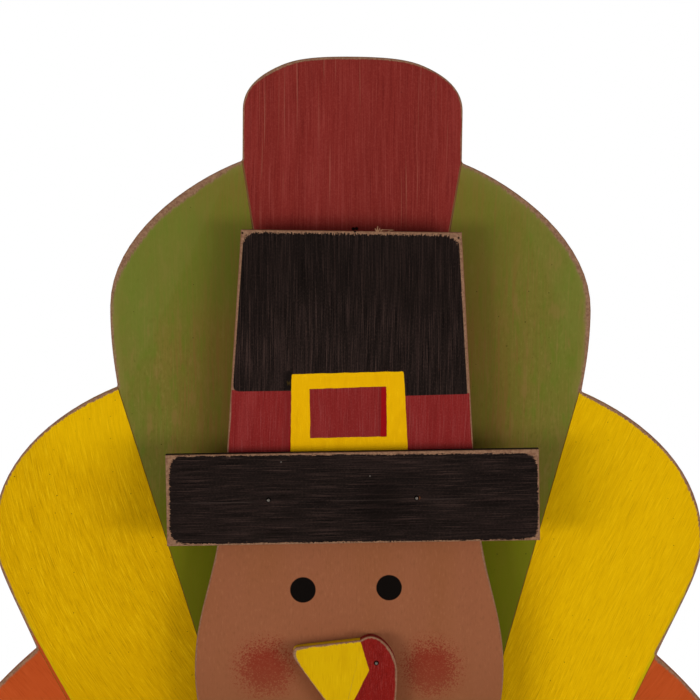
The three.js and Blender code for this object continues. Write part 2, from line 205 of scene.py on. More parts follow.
def raw_board(name="raw_sanded_fibreboard", space=BOARD):
    """Unpainted medium density fibreboard: matt and tan, with felted flecks 0.5 to 1 mm long and
    faint clouds that keep it from looking like plastic."""
    finish = Finish(name, BARE_BOARD, BARE_ROUGHNESS, space, **{"Specular IOR Level": 0.15})
    flecks = finish.mottle((0.9, 0.5, 0.6), finish.place, seed=3, detail=3, roughness=0.65)
    clouds = finish.mottle((28, 35, 9), finish.place, seed=5)
    finish.coat(clouds, "86604a", 0.35, 0.7, 0.45)
    finish.coat(flecks, "a47e60", 0.55, 0.75, 0.5, height=0.02)
    finish.coat(flecks, "6d4c36", 0.42, 0.27, 0.5, height=-0.03)
    sanding = finish.mottle((0.8, 30, 1), seed=9)
    finish.coat(sanding, "a07a5b", 0.55, 0.75, 0.3, height=0.01)
    return finish.finished(0.5)


def left_of(finish, start, end):
    """How far a point is to the left of the line from start to end, in mm."""
    run, rise = end[0] - start[0], end[1] - start[1]
    length = math.hypot(run, rise)
    inward = (-rise / length, run / length, 0)
    along = add(finish.tree, "VectorMath", finish.place, inward, operation="DOT_PRODUCT")
    return add(
        finish.tree, "Math", along.outputs[1], -inward[0] * start[0] - inward[1] * start[1]
    )


def inside_of(finish, corners, rounding=0.0):
    """How far inside a shape with these corners, anticlockwise and in mm, a point is."""
    inside = None
    for start, end in zip(corners, corners[1:] + corners[:1]):
        side = left_of(finish, start, end)
        if inside is None:
            inside = side
        elif rounding:
            inside = add(finish.tree, "Math", inside, side, rounding, operation="SMOOTH_MIN")
        else:
            inside = add(finish.tree, "Math", inside, side, operation="MINIMUM")
    return inside


def within(finish, spot, radius):
    """How far inside a round spot a point is, in mm."""
    flat = add(finish.tree, "VectorMath", finish.place, (1, 1, 0), operation="MULTIPLY")
    away = add(finish.tree, "VectorMath", flat, (*spot, 0), operation="DISTANCE").outputs[1]
    return add(finish.tree, "Math", radius, away, operation="SUBTRACT")


def frayed(finish, inside, ragged, tooth=(0.8, 8, 8), where=None, seed=41):
    """A paint's edge moved in and out by about ragged mm, by bristle ends of a tooth's size."""
    teeth = finish.mottle(tooth, where or finish.strokes, seed=seed, detail=3)
    jitter = add(finish.tree, "Math", teeth, -0.5)
    return add(
        finish.tree, "Math", jitter, ragged * FULL_SWING, inside, operation="MULTIPLY_ADD"
    )


def cut_in(finish, inside, waver, size, seed=41):
    """A paint's edge cut in by hand, which wavers by about waver mm over patches of that size."""
    return frayed(finish, inside, waver, (size,) * 3, finish.place, seed)


def bristle_marks(finish, rows):
    """Brush marks along the strokes. A row holds how wide and long its marks are in mm, and the
    coats on it: colour, mottle value where it begins and where it is full, strength and height."""
    for number, (wide, long, coats) in enumerate(rows):
        streak = finish.mottle((wide, long, 50), seed=number + 11)
        for colour, begin, full, strength, height in coats:
            finish.coat(streak, colour, begin, full, strength, height=height)


def painted_in(finish, inside, colour, rows, soft=0.15, roughness=None, height=0.0):
    """Lays one colour with its own bristle marks inside a shape."""
    under, finish.colour = finish.colour, hue(colour)
    bristle_marks(finish, rows)
    over, finish.colour = finish.colour, under
    finish.coat(inside, over, -soft, soft, roughness=roughness, height=height)


def pin_specks(finish, colour, apart, radius, share, seed):
    """Pinholes and grit in the paint: a dot in a share of cells apart mm wide, each up to 0.7 of
    the radius smaller than it, and soft over half of it."""
    tree = finish.tree
    shift = {"Location": (seed * 7.7, seed * 3.1, 0), "Scale": (1 / apart, 1 / apart, 0)}
    spread = add(tree, "Mapping", finish.place, into=shift)
    cells = add(tree, "TexVoronoi", spread, into={"Scale": 1.0}, voronoi_dimensions="2D")
    red, green, _ = add(tree, "SeparateColor", cells.outputs["Color"]).outputs
    reach = radius / apart
    middle = cells.outputs["Distance"]
    away = add(tree, "Math", green, 0.7 * reach, middle, operation="MULTIPLY_ADD")
    near = add(tree, "MapRange", away, reach, 0.5 * reach)
    chosen = add(tree, "Math", red, share, operation="LESS_THAN")
    dots = add(tree, "Math", near, chosen, operation="MULTIPLY")
    finish.coat(dots, colour, height=-PAINT_THICKNESS)


def bare_colour(finish):
    """The tan of bare fibreboard with its flecks, as a colour to lay over paint."""
    flecks = finish.mottle((1.1, 1.1, 0.8), finish.place, seed=3, detail=3)
    shade = add(finish.tree, "MapRange", flecks, 0.35, 0.65)
    return add(finish.tree, "Mix", shade, hue("765440"), hue("916e55"), data_type="RGBA")


def worn_edges(finish, least, spread, ragged, soft, worn=()):
    """Bare board along the arrises, where the paint was sanded through by an uneven width. Worn
    spots hold their place, radius and how much wider the bare rim is there, in mm."""
    tree = finish.tree
    inland = add(tree, "Attribute", attribute_name="inland").outputs["Fac"]
    slow = finish.mottle((26, 26, 26), finish.place, seed=21)
    width = add(tree, "MapRange", slow, 0.35, 0.7, least, least + spread)
    for spot, radius, extra in worn:
        most = extra * 1.5
        near = add(tree, "MapRange", within(finish, spot, radius), 0, radius, 0, most)
        width = add(tree, "Math", width, near, operation="ADD")
    fray = frayed(finish, width, ragged, (0.9, 9, 9), seed=23)
    bare = add(tree, "Math", fray, inland, operation="SUBTRACT")
    finish.coat(bare, bare_colour(finish), -soft, soft, 1.0, BARE_ROUGHNESS, -PAINT_THICKNESS)
    # Painted shade: a darker brown line right at the arris, where the rounded edge turns away from
    # the light
    finish.coat(inland, "85573f", 0.6, 0.3, 0.6)


def turned_strokes(finish):
    """Strokes run along each feather, whose angle and bend are kept on its faces, and waver by
    about a mm."""
    tree = finish.tree
    angle = add(tree, "Attribute", attribute_name="stroke_turn").outputs["Fac"]
    bend = add(tree, "Attribute", attribute_name="stroke_bend").outputs["Fac"]
    turn = {"Vector": finish.place, "Angle": angle}
    turned = add(tree, "VectorRotate", into=turn, rotation_type="Z_AXIS")
    along = add(tree, "Math", add(tree, "SeparateXYZ", turned).outputs[1], -BEND_MIDDLE)
    square = add(tree, "Math", along, along, operation="MULTIPLY")
    drift = finish.mottle((30, 90, 90), turned, seed=2, detail=1)
    waver = 3.5
    sway = add(tree, "Math", drift, waver, -waver / 2, operation="MULTIPLY_ADD")
    aside = add(tree, "Math", square, bend, sway, operation="MULTIPLY_ADD")
    step = add(tree, "CombineXYZ", aside)
    finish.strokes = add(tree, "VectorMath", turned, step, operation="ADD").outputs[0]


def brushed_paint(name, ground, marks, rough=0.6):
    """Craft acrylic brushed on fibreboard: matt, with bristle lines along the strokes and thin
    places where a lighter or darker coat shows."""
    finish = Finish(name, ground, rough, **{"Specular IOR Level": 0.015})
    turned_strokes(finish)
    bristle_marks(finish, marks)
    return finish


def red_paint():
    """Barn red, with a few long light scratches where the brush dragged."""
    finish = brushed_paint(
        "brushed_barn_red_acrylic",
        "7b2822",
        [
            (12, 160, [("72251f", 0.42, 0.68, 0.5, 0), ("822f2a", 0.5, 0.3, 0.4, 0)]),
            (0.42, 24, [("5f1916", 0.48, 0.25, 0.62, -0.01), ("914039", 0.52, 0.76, 0.55, 0.01)]),
            (1.2, 55, [("671d19", 0.44, 0.28, 0.35, 0), ("8a3a34", 0.58, 0.72, 0.3, 0)]),
            (0.6, 0.8, [("6a1f1b", 0.48, 0.3, 0.4, -0.006), ("8a3932", 0.52, 0.7, 0.35, 0.006)]),
            (0.7, 90, [("9c6450", 0.665, 0.76, 0.5, 0)]),
        ],
    )
    pin_specks(finish, "4a1512", 18, 0.3, 0.35, 1)
    for drop_of_black in ((1.0, 524.0), (2.6, 524.2)):
        finish.coat(within(finish, drop_of_black, 0.95), "120405", -0.3, 0.4)
    worn_edges(finish, 0.55, 0.4, 0.25, 0.25, [((0, 604), 50, 0.5), ((-40, 600), 30, 0.4)])
    return finish.finished(0.6)


def green_paint():
    """Olive green stippled with a worn brush, browner towards the body and greener outwards, and a
    painted shade colour below the brim, where the body's shadow lies.
    """
    finish = brushed_paint(
        "brushed_olive_green_acrylic",
        "6b6527",
        [
            (22, 80, [("646f28", 0.48, 0.68, 0.55, 0), ("72652a", 0.48, 0.3, 0.4, 0)]),
            (7, 90, [("79602c", 0.53, 0.7, 0.5, 0), ("636a24", 0.47, 0.3, 0.45, 0)]),
            (1.0, 2.4, [("5e581e", 0.46, 0.28, 0.5, -0.01), ("7c7436", 0.55, 0.75, 0.45, 0.01)]),
            (3.6, 12, [("5a6b1c", 0.46, 0.28, 0.6, 0), ("806636", 0.55, 0.72, 0.6, 0)]),
            (0.6, 26, [("646022", 0.46, 0.27, 0.5, -0.008), ("7f6c38", 0.58, 0.75, 0.5, 0.008)]),
        ],
    )
    outwards = add(finish.tree, "Math", finish.across, operation="ABSOLUTE")
    inner = add(finish.tree, "MapRange", outwards, 112, 62)
    drag = add(finish.tree, "MapRange", finish.mottle((1.3, 34, 9), seed=19), 0.45, 0.66)
    brown_drags = add(finish.tree, "Math", inner, drag, operation="MULTIPLY")
    finish.coat(brown_drags, "7f5830", 0, 1, 0.7)
    finish.coat(outwards, "6f5920", 100, 62, 0.5)
    finish.coat(outwards, "6c6f28", 85, 125, 0.3)
    finish.coat(finish.up, "626e22", 470, 530, 0.25)
    finish.coat(within(finish, (-98, 508), 60), "5f6f20", 0, 45, 0.4)
    # Painted shade colour: below the brim, where the body's shadow lies on the green, the green is
    # made deeper and less blue
    finish.coat(finish.up, "646705", 405, 365, 0.8)
    pin_specks(finish, "37330f", 13, 0.38, 0.45, 2)
    inland = add(finish.tree, "Attribute", attribute_name="inland").outputs["Fac"]
    finish.coat(inland, "7f763c", 8, 1, 0.4)
    left_shoulder = [((-110, 524), 42, 1.9), ((-82, 548), 28, 1.9)]
    right_shoulder = [((98, 530), 36, 1.3), ((118, 488), 40, 1.0)]
    worn_edges(finish, 1.1, 0.6, 0.8, 0.9, left_shoulder + right_shoulder)
    return finish.finished(0.6)


def yellow_paint():
    """Golden yellow, with thin brown lines where the board shows between the bristles."""
    finish = brushed_paint(
        "brushed_golden_yellow_acrylic",
        "cb9b00",
        [
            (13, 120, [("c39300", 0.45, 0.7, 0.5, 0), ("d5a600", 0.48, 0.3, 0.45, 0)]),
            (0.36, 8, [("a27500", 0.48, 0.26, 0.66, -0.02), ("e8bd16", 0.52, 0.75, 0.6, 0.02)]),
            (1.3, 45, [("bd8e00", 0.46, 0.28, 0.35, 0), ("d6a900", 0.58, 0.74, 0.3, 0)]),
            (0.5, 0.7, [("b98900", 0.44, 0.28, 0.35, -0.01), ("dbae04", 0.56, 0.72, 0.3, 0.01)]),
            (0.45, 30, [("7c5a06", 0.67, 0.77, 0.6, -0.04)]),
        ],
    )
    pin_specks(finish, "4c390c", 10, 0.42, 0.5, 3)
    # Painted light: the yellow is lighter towards the right, where the shade of the body and brim
    # is weaker
    finish.coat(finish.across, "ebbb02", 70, 125, 0.33)
    finish.coat(within(finish, (-125, 438), 48), "ebbb02", 0, 30, 0.4)
    finish.coat(within(finish, (-120, 268), 60), "b58600", 0, 40, 0.35)
    finish.coat(left_of(finish, *RIGHT_LINES[2]), "98940c", -2.4, -0.4, 0.6)
    lapped = left_of(finish, *LEFT_LINES[2][::-1])
    finish.coat(lapped, "a59a0a", -3.4, -1.4, 0.4)
    finish.coat(cut_in(finish, lapped, 0.1, 5), "a8431a", -1.5, -1.2)
    worn_edges(finish, 0.9, 0.5, 0.45, 0.35, [((-140, 452), 40, 0.6), ((166, 440), 60, 0.6)])
    return finish.finished(0.6)


def orange_paint():
    """Burnt orange, laid on evenly, with soft worn arrises."""
    finish = brushed_paint(
        "brushed_burnt_orange_acrylic",
        "af481d",
        [
            (14, 60, [("a54218", 0.45, 0.7, 0.5, 0), ("b84f23", 0.48, 0.3, 0.4, 0)]),
            (0.6, 8, [("9a3c14", 0.46, 0.27, 0.4, -0.01), ("bf5b2e", 0.55, 0.75, 0.35, 0.01)]),
        ],
    )
    pin_specks(finish, "5c2109", 16, 0.3, 0.35, 4)
    worn_edges(finish, 1.4, 0.7, 0.4, 0.7)
    return finish.finished(0.6)


def groove_glaze(name, colour):
    """Both feathers' paints ran thin into the groove between them, over tan board."""
    finish = Finish(name, colour, 0.75, **{"Specular IOR Level": 0.1})
    patches = finish.mottle((2.2, 7, 3), finish.place, seed=31, detail=3)
    finish.coat(patches, "7b5c40", 0.5, 0.7, 0.5)
    return finish.finished(0.3)


BLACK_MARKS = [
    (9, 80, [("181210", 0.42, 0.66, 0.6, 0), ("2b201d", 0.5, 0.3, 0.5, 0)]),
    (0.4, 21, [("080504", 0.49, 0.29, 0.9, -0.012), ("43322d", 0.51, 0.73, 0.8, 0.012)]),
    (1.1, 60, [("110c0a", 0.45, 0.3, 0.5, 0), ("3a2a26", 0.56, 0.72, 0.45, 0)]),
    (0.5, 1.1, [("120c0a", 0.48, 0.3, 0.6, -0.008), ("352824", 0.52, 0.72, 0.5, 0.008)]),
    (0.6, 60, [("584540", 0.7, 0.78, 0.3, 0.01)]),
]
HAT_RED_MARKS = [
    (7, 40, [("8a3230", 0.5, 0.7, 0.4, 0), ("76211f", 0.48, 0.3, 0.4, 0)]),
    (0.42, 18, [("641816", 0.48, 0.26, 0.62, -0.01), ("904543", 0.53, 0.76, 0.55, 0.01)]),
    (0.8, 26, [("6a1917", 0.42, 0.28, 0.3, 0), ("8e4a44", 0.62, 0.75, 0.3, 0)]),
    (0.6, 0.9, [("6c1c1a", 0.48, 0.3, 0.4, -0.006), ("8c3b38", 0.52, 0.7, 0.35, 0.006)]),
]


CHEEKS = [(-40.4, 305.5), (41.8, 306.5)]
EYES = [(-22.0, 345.2), (20.7, 346.8)]
# Where the red band starts, hidden by the brim, and where it ends
BEHIND_BRIM, BAND_TOP = 380, 444


def cheeks(finish):
    """Airbrushed red: a mist of specks, dense in the middle and thin at the rim."""
    tree = finish.tree
    for number, spot in enumerate(CHEEKS):
        inwards = within(finish, spot, 20)
        depth = add(tree, "MapRange", inwards, 2, 14, -0.2, 1.0)
        mist = finish.mottle((0.8, 0.8, 0.8), finish.place, 51 + number, 3, 0.75)
        specks = add(tree, "Math", mist, -0.5)
        cover = add(tree, "Math", specks, 4.6, depth, operation="MULTIPLY_ADD")
        reach = add(tree, "Math", inwards, 0.22, operation="MULTIPLY")
        cover = add(tree, "Math", cover, reach, operation="MINIMUM")
        finish.coat(cover, "792217", -0.1, 0.95, 0.88)


def hat_band(finish):
    """The red band, bare board above it, and painted shade: a soft darker red along the buckle's
    left edge.
    """
    top = BAND_TOP + 1
    band = inside_of(finish, [(-62, BEHIND_BRIM), (64, BEHIND_BRIM), (62, top), (-62, top)])
    painted_in(finish, frayed(finish, band, 0.15), "7d2220", HAT_RED_MARKS, height=0.02)
    above = left_of(finish, (-62, BAND_TOP + 0.1), (62, BAND_TOP - 0.1))
    finish.coat(above, bare_colour(finish), -0.2, 0.2)
    # Painted shade: a soft darker red along the buckle's left edge
    shade_beside_buckle = [(-33.0, 400), (-28.0, 400), (-28.0, 446), (-32.8, 446)]
    finish.coat(inside_of(finish, shade_beside_buckle), "6c1a1a", -1.4, 1.8, 0.5)
    buckle_side = [(-30.0, 400), (-28.0, 400), (-28.0, 428), (-29.4, 426)]
    finish.coat(inside_of(finish, buckle_side), "7a0c10", -0.5, 0.9)


def black_crown(finish):
    """The crown's black, brushed out in bristle ends at its rim, cut in on the left and right of
    the buckle, and round its side; darker towards the top, with a smear by the buckle's corner."""
    tree = finish.tree
    rim = inside_of(finish, [(-59.0, 430), (60.4, 430), (53.2, 521.4), (-53.5, 522.0)], 12)
    rim = frayed(finish, rim, 0.8, (0.45, 4, 5))
    rim = cut_in(finish, rim, 0.7, 0.8, 43)
    left_cut = inside_of(finish, [(-57.7, 443.3), (12, 445.0), (12, 535), (-52.2, 535)], 5.3)
    right_cut = inside_of(finish, [(-12, 440.6), (58.2, 443.4), (51.9, 535), (-12, 535)], 0.8)
    foot = add(tree, "Math", left_cut, right_cut, operation="MAXIMUM")
    front = add(tree, "Math", rim, foot, operation="MINIMUM")
    behind = add(tree, "Math", finish.out, -1, operation="MULTIPLY")
    side = add(tree, "Math", behind, BODY_FRONT - ARRIS_DEPTH)
    above_band = add(tree, "Math", finish.up, -BAND_TOP)
    side = add(tree, "Math", side, above_band, operation="MINIMUM")
    crown = add(tree, "Math", front, side, operation="MAXIMUM")
    painted_in(finish, crown, "1f1714", BLACK_MARKS, 0.2, 0.5, 0.03)
    # Darker towards the top of the crown
    thick = add(tree, "MapRange", finish.up, 466, 496, 0, 0.4)
    finish.coat(add(tree, "Math", thick, crown, operation="MINIMUM"), "100b09")
    dense = inside_of(finish, [(-32.4, 444.3), (-28, 444.3), (-28, 454.5), (-31.5, 454.0)], 2.0)
    finish.coat(dense, "120d0b", -0.4, 0.8, 0.85)
    smear = finish.mottle((0.5, 1.6, 1), finish.place, seed=58)
    smear = add(tree, "Math", within(finish, (-30.2, 447.6), 2.6), smear, operation="MULTIPLY")
    finish.coat(smear, "4d3b12", 0.5, 1.4, 0.7)


def yellow_buckle(finish):
    """A thick yellow frame round a window of the band's red, which is wet and shaded on its
    right."""
    tree = finish.tree
    outline = inside_of(finish, [(-28.8, 405), (29.8, 405), (26.6, 454.3), (-28.7, 452.2)], 1.4)
    window = inside_of(finish, [(-19.1, 420.7), (18.6, 421.9), (18.1, 446.8), (-19.8, 445.0)], 0.4)
    past_window = add(tree, "Math", window, -1, operation="MULTIPLY")
    buckle = add(tree, "Math", outline, past_window, operation="MINIMUM")
    under_buckle = add(tree, "MapRange", window, -2.0, -1.6)
    red = add(tree, "Math", under_buckle, -0.5)
    painted_in(finish, red, "7d2220", HAT_RED_MARKS, 0.4)
    marks = [
        (5, 14, [("d39b02", 0.5, 0.75, 0.5, 0)]),
        (0.8, 6, [("d59d02", 0.45, 0.28, 0.4, -0.01), ("ecbb12", 0.56, 0.75, 0.4, 0.01)]),
    ]
    painted_in(finish, cut_in(finish, buckle, 0.2, 6), "dfa803", marks, 0.2, 0.45, 0.07)
    shade = inside_of(finish, [(13.6, 421.9), (18.6, 421.9), (18.0, 446.6), (13.8, 446.6)])
    finish.coat(shade, "6c1b1d", -0.4, 2.0, 0.5)
    wet = inside_of(finish, [(15.4, 421.7), (18.8, 421.8), (18.2, 446.9), (15.6, 446.7)], 1.6)
    finish.coat(cut_in(finish, wet, 0.15, 5), "8b0d12", -0.2, 0.5)


def head_paint():
    """The body board's paints: tan brown face, black crown, red band, yellow buckle, dotted eyes
    and airbrushed cheeks, each cut in by hand over the one before."""
    finish = brushed_paint(
        "brushed_face_and_hat_acrylics",
        "8b5438",
        [
            (26, 90, [("85502f", 0.45, 0.75, 0.45, 0)]),
            (9, 120, [("8f583b", 0.5, 0.75, 0.4, 0)]),
            (1.0, 3, [("7e4c30", 0.46, 0.27, 0.45, -0.008), ("976244", 0.55, 0.75, 0.4, 0.008)]),
        ],
    )
    cheeks(finish)
    finish.coat(finish.up, "7e4c30", 322, 276, 0.6)
    hat_band(finish)
    black_crown(finish)
    yellow_buckle(finish)
    for spot in EYES:
        eye = cut_in(finish, within(finish, spot, 6.35), 0.06, 3)
        painted_in(finish, eye, "0d0907", (), 0.2, 0.45, 0.05)
    worn_edges(finish, 0.5, 0.45, 0.15, 0.2, [((-54, 521), 12, 0.5), ((53, 521), 10, 0.5)])
    for corner_pit in ((-53.6, 521.6), (52.8, 520.4)):
        finish.coat(within(finish, corner_pit, 0.6), "2a1a12", -0.15, 0.25, height=-0.1)
    stain_on_rim = (1.8, 523.0)
    finish.coat(within(finish, stain_on_rim, 0.7), "1c1411", -0.2, 0.3)
    return finish.finished(0.6)


def brim_paint():
    """Black paint brushed from side to side, stopping short of the arrises in bristle ends, with
    a faint scratch along it, rust at a brad and two pale specks."""
    finish = brushed_paint("brushed_black_acrylic", "1d1613", BLACK_MARKS, 0.55)
    tree = finish.tree
    slope, height = -0.028, 390.9
    line = add(tree, "Math", finish.across, slope, finish.up, operation="MULTIPLY_ADD")
    from_scratch = add(tree, "Math", add(tree, "Math", line, -height), operation="ABSOLUTE")
    scratch = add(tree, "MapRange", from_scratch, 0.3, 0.12)
    patchy = add(tree, "MapRange", finish.mottle((4, 30, 9), seed=72), 0.42, 0.6)
    finish.coat(add(tree, "Math", scratch, patchy, operation="MULTIPLY"), "4c3e39", 0, 1, 0.5)
    finish.coat(0.2, "0b0706")
    finish.coat(within(finish, (17, 391), 19), "0a0605", 0, 14, 0.4)
    brad_x, brad_y = BRIM_BRADS[1]
    finish.coat(within(finish, (brad_x + 1.0, brad_y), 0.8), "5d3319", -0.3, 0.3)
    for speck in ((-33.2, 409.6), (10.5, 403.2)):
        finish.coat(within(finish, speck, 0.3), "6a625b", -0.2, 0.2)
    for brad in BRIM_BRADS:
        finish.coat(within(finish, brad, 1.3), "0c0807", -0.3, 0.3)
    black = inside_of(finish, [(-87.4, 368.4), (93.8, 373.0), (92.5, 415.4), (-88.2, 411.8)], 12)
    black = frayed(finish, black, 0.6, (0.5, 6, 9))
    black = cut_in(finish, black, 0.4, 0.8, 43)
    on_front = add(tree, "Math", finish.out, -(TRIM_FRONT - ARRIS_DEPTH))
    bare = add(tree, "Math", black, -1, operation="MULTIPLY")
    bare = add(tree, "Math", bare, on_front, operation="MINIMUM")
    finish.coat(bare, bare_colour(finish), -0.15, 0.2, 1.0, BARE_ROUGHNESS, -PAINT_THICKNESS)
    return finish.finished(0.6)


def beak_paint():
    """Yellow beak and red snood on one board, the yellow cut in with a brush over the red."""
    finish = brushed_paint(
        "brushed_beak_and_snood_acrylics",
        "7b1813",
        [
            (5, 30, [("6b1512", 0.45, 0.7, 0.45, 0)]),
            (0.42, 5, [("560c0a", 0.48, 0.26, 0.62, -0.01), ("973f3a", 0.54, 0.76, 0.62, 0.01)]),
            (0.8, 14, [("631411", 0.44, 0.28, 0.35, 0), ("8f3c37", 0.6, 0.74, 0.3, 0)]),
            (0.5, 0.8, [("661512", 0.48, 0.3, 0.45, -0.006), ("8c332e", 0.52, 0.7, 0.4, 0.006)]),
        ],
        0.55,
    )
    beak = [(-40, 262), (-10.6, 262), (11.2, 307.1), (2.2, 336), (-40, 336)]
    yellow = cut_in(finish, inside_of(finish, beak, 0.6), 0.12, 4)
    marks = [
        (7, 20, [("bf9203", 0.45, 0.7, 0.45, 0)]),
        (0.5, 8, [("b68903", 0.46, 0.27, 0.45, -0.01), ("dcb316", 0.56, 0.76, 0.4, 0.01)]),
    ]
    painted_in(finish, yellow, "cba104", marks, 0.25, 0.5, 0.06)
    for brad in BEAK_BRADS:
        finish.coat(within(finish, brad, 1.3), "3a120f", -0.3, 0.3)
    worn = [((-27, 316), 9, 0.8), ((-12, 319), 12, 0.2), ((28, 318), 14, 0.3)]
    worn_edges(finish, 0.5, 0.45, 0.3, 0.35, worn)
    return finish.finished(0.6)


def plated_steel():
    """Zinc plated steel: a cool grey metal, brushed lightly by tumbling, with dull clouds."""
    finish = Finish("zinc_plated_steel", "b9b7ae", 0.34, Metallic=1.0)
    clouds = finish.mottle((4, 4, 4), finish.place, seed=61)
    finish.coat(clouds, "a3a198", 0.4, 0.7, 0.6, roughness=0.48)
    grain = finish.mottle((0.25, 6, 6), finish.place, seed=62)
    finish.coat(grain, "cac8c0", 0.5, 0.7, 0.35, height=0.004)
    return finish.finished(0.4)


def nail_steel():
    """Bright-drawn wire nail, dulled: small grey heads with darker scale."""
    finish = Finish("dull_wire_nail_steel", "6e675f", 0.38, Metallic=1.0)
    scale = finish.mottle((0.5, 0.5, 0.5), finish.place, seed=63)
    finish.coat(scale, "4a443d", 0.48, 0.65, 0.6, roughness=0.6)
    return finish.finished(0.3)


# Modelling helpers

# How far a face is turned to the front or back: less than upright it is a board's side, and more
# than flat it is its front or back
UPRIGHT, FLAT = 0.3, 0.9


def only(piece):
    """Selects one piece and nothing else."""
    bpy.ops.object.select_all(action="DESELECT")
    piece.select_set(True)
    bpy.context.view_layer.objects.active = piece


def select(piece, kind, chosen):
    """Selects the faces, edges or vertices of a piece by a list of true and false."""
    bpy.ops.object.mode_set(mode="EDIT")
    bpy.ops.mesh.select_mode(type={"polygons": "FACE", "edges": "EDGE", "vertices": "VERT"}[kind])
    bpy.ops.mesh.select_all(action="DESELECT")
    bpy.ops.object.mode_set(mode="OBJECT")
    getattr(piece.data, kind).foreach_set("select", np.asarray(chosen, bool))
    bpy.ops.object.mode_set(mode="EDIT")


def copied(node, name, space):
    """A merged copy of a CAD node's mesh in its own flat space, with whole faces."""
    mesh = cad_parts[node].data.copy()
    mesh.materials.clear()
    mesh.transform(space.inverted())
    piece = bpy.data.objects.new(name, mesh)
    bpy.context.scene.collection.objects.link(piece)
    only(piece)
    if mesh.has_custom_normals:
        bpy.ops.mesh.customdata_custom_splitnormals_clear()
    bpy.ops.object.mode_set(mode="EDIT")
    bpy.ops.mesh.select_all(action="SELECT")
    bpy.ops.mesh.remove_doubles(threshold=1e-6)
    bpy.ops.mesh.dissolve_limited(angle_limit=math.radians(0.5))
    bpy.ops.object.mode_set(mode="OBJECT")
    return piece


def placed(piece, space, node, body):
    """Puts a piece where its CAD node is, in its place, on its body."""
    bpy.ops.object.mode_set(mode="OBJECT")
    piece.data.transform(space)
    only(piece)
    bpy.ops.object.shade_smooth_by_angle(angle=math.radians(35))
    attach(piece, body)
    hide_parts(node)


def arrises(piece):
    """The edges between a board's faces and its side."""
    turned = {}
    for face in piece.data.polygons:
        for key in face.edge_keys:
            turned.setdefault(key, []).append(abs(face.normal.z))
    both = [turned[edge.key] for edge in piece.data.edges]
    return [min(faces) < UPRIGHT and max(faces) > FLAT for faces in both]


def segments(piece, chosen):
    """The chosen edges' ends as two arrays of points."""
    mesh = piece.data
    ends = np.array([e.vertices[:] for e, c in zip(mesh.edges, chosen) if c]).reshape(-1, 2)
    points = np.array([v.co for v in mesh.vertices])
    return points[ends[:, 0]], points[ends[:, 1]]


def distances(points, starts, ends):
    """The distance of each point to the nearest of some line segments."""
    best = np.full(len(points), np.inf)
    for start, end in zip(starts, ends):
        run = end - start
        share = np.clip(((points - start) @ run) / max(run @ run, 1e-12), 0, 1)
        best = np.minimum(best, np.linalg.norm(points - start - share[:, None] * run, axis=1))
    return best


def note(piece, name, domain, values):
    """Keeps a number on each vertex or face for the paints to read."""
    attribute = piece.data.attributes.new(name, "FLOAT", domain)
    attribute.data.foreach_set("value", np.asarray(values, np.float32))


def drawn_from_outline(node, name, front):
    """A board drawn anew from the outline that its CAD node has at mid thickness, so that its
    faces are whole and its arrises run clean all the way round."""
    piece = copied(node, name, BOARD)
    middle = (front - HALF_BOARD) * MM
    bpy.ops.object.mode_set(mode="EDIT")
    bpy.ops.mesh.select_all(action="SELECT")
    bpy.ops.mesh.bisect(
        plane_co=(0, 0, middle), plane_no=(0, 0, 1), clear_inner=True, clear_outer=True
    )
    bpy.ops.object.mode_set(mode="OBJECT")
    heads = [(BOARD.inverted() @ spot).xy for spot in FASTENERS.values()]
    # The outline keeps farther from the fasteners than this, so what is nearer is their holes
    hole_reach = 4.8 * MM
    in_holes = [
        any((vertex.co.xy - head).length < hole_reach for head in heads)
        for vertex in piece.data.vertices
    ]
    select(piece, "vertices", in_holes)
    bpy.ops.mesh.delete(type="VERT")
    bpy.ops.mesh.select_all(action="SELECT")
    bpy.ops.mesh.edge_face_add()
    bpy.ops.transform.translate(value=(0, 0, -HALF_BOARD * MM))
    for _ in range(2):
        bpy.ops.mesh.extrude_region_move(TRANSFORM_OT_translate={"value": (0, 0, HALF_BOARD * MM)})
    bpy.ops.object.mode_set(mode="OBJECT")
    # A board that reaches the ground is drawn longer, and cut level with the ground
    lowest = min(v.co.y for v in piece.data.vertices)
    select(piece, "vertices", [v.co.y < lowest + SAME for v in piece.data.vertices])
    if lowest < 0:
        bpy.ops.transform.translate(value=(0, -2 * MM, 0))
        bpy.ops.mesh.select_all(action="SELECT")
        ground = BOARD.inverted()
        upwards = ground.to_3x3() @ Vector((0, 0, 1))
        bpy.ops.mesh.bisect(
            plane_co=ground.translation, plane_no=upwards, use_fill=True, clear_inner=True
        )
    bpy.ops.mesh.select_all(action="SELECT")
    bpy.ops.mesh.normals_make_consistent(inside=False)
    bpy.ops.object.mode_set(mode="OBJECT")
    return piece


def sanded_board(node, name, front, rim, arris):
    """A board with rounded arrises and a rim of faces round its front. Comes with the ends of the
    lines its arrises run along."""
    piece = drawn_from_outline(node, name, front)
    chosen = arrises(piece)
    ends = segments(piece, chosen)
    select(piece, "edges", chosen)
    bpy.ops.mesh.bevel(offset=arris * MM, segments=3, affect="EDGES", clamp_overlap=False)
    bpy.ops.object.mode_set(mode="OBJECT")
    on_front = [
        face.normal.z > 0.99 and abs(face.center.z - front * MM) < SAME
        for face in piece.data.polygons
    ]
    select(piece, "polygons", on_front)
    bpy.ops.mesh.inset(thickness=rim * MM, depth=0, use_even_offset=True)
    bpy.ops.object.mode_set(mode="OBJECT")
    return piece, ends


def cut_away(piece, cutter):
    """Cuts one shape out of a piece."""
    only(piece)
    saw = piece.modifiers.new("cut", "BOOLEAN")
    saw.operation, saw.object, saw.solver = "DIFFERENCE", cutter, "EXACT"
    bpy.ops.object.modifier_apply(modifier=saw.name)
    bpy.data.objects.remove(cutter)


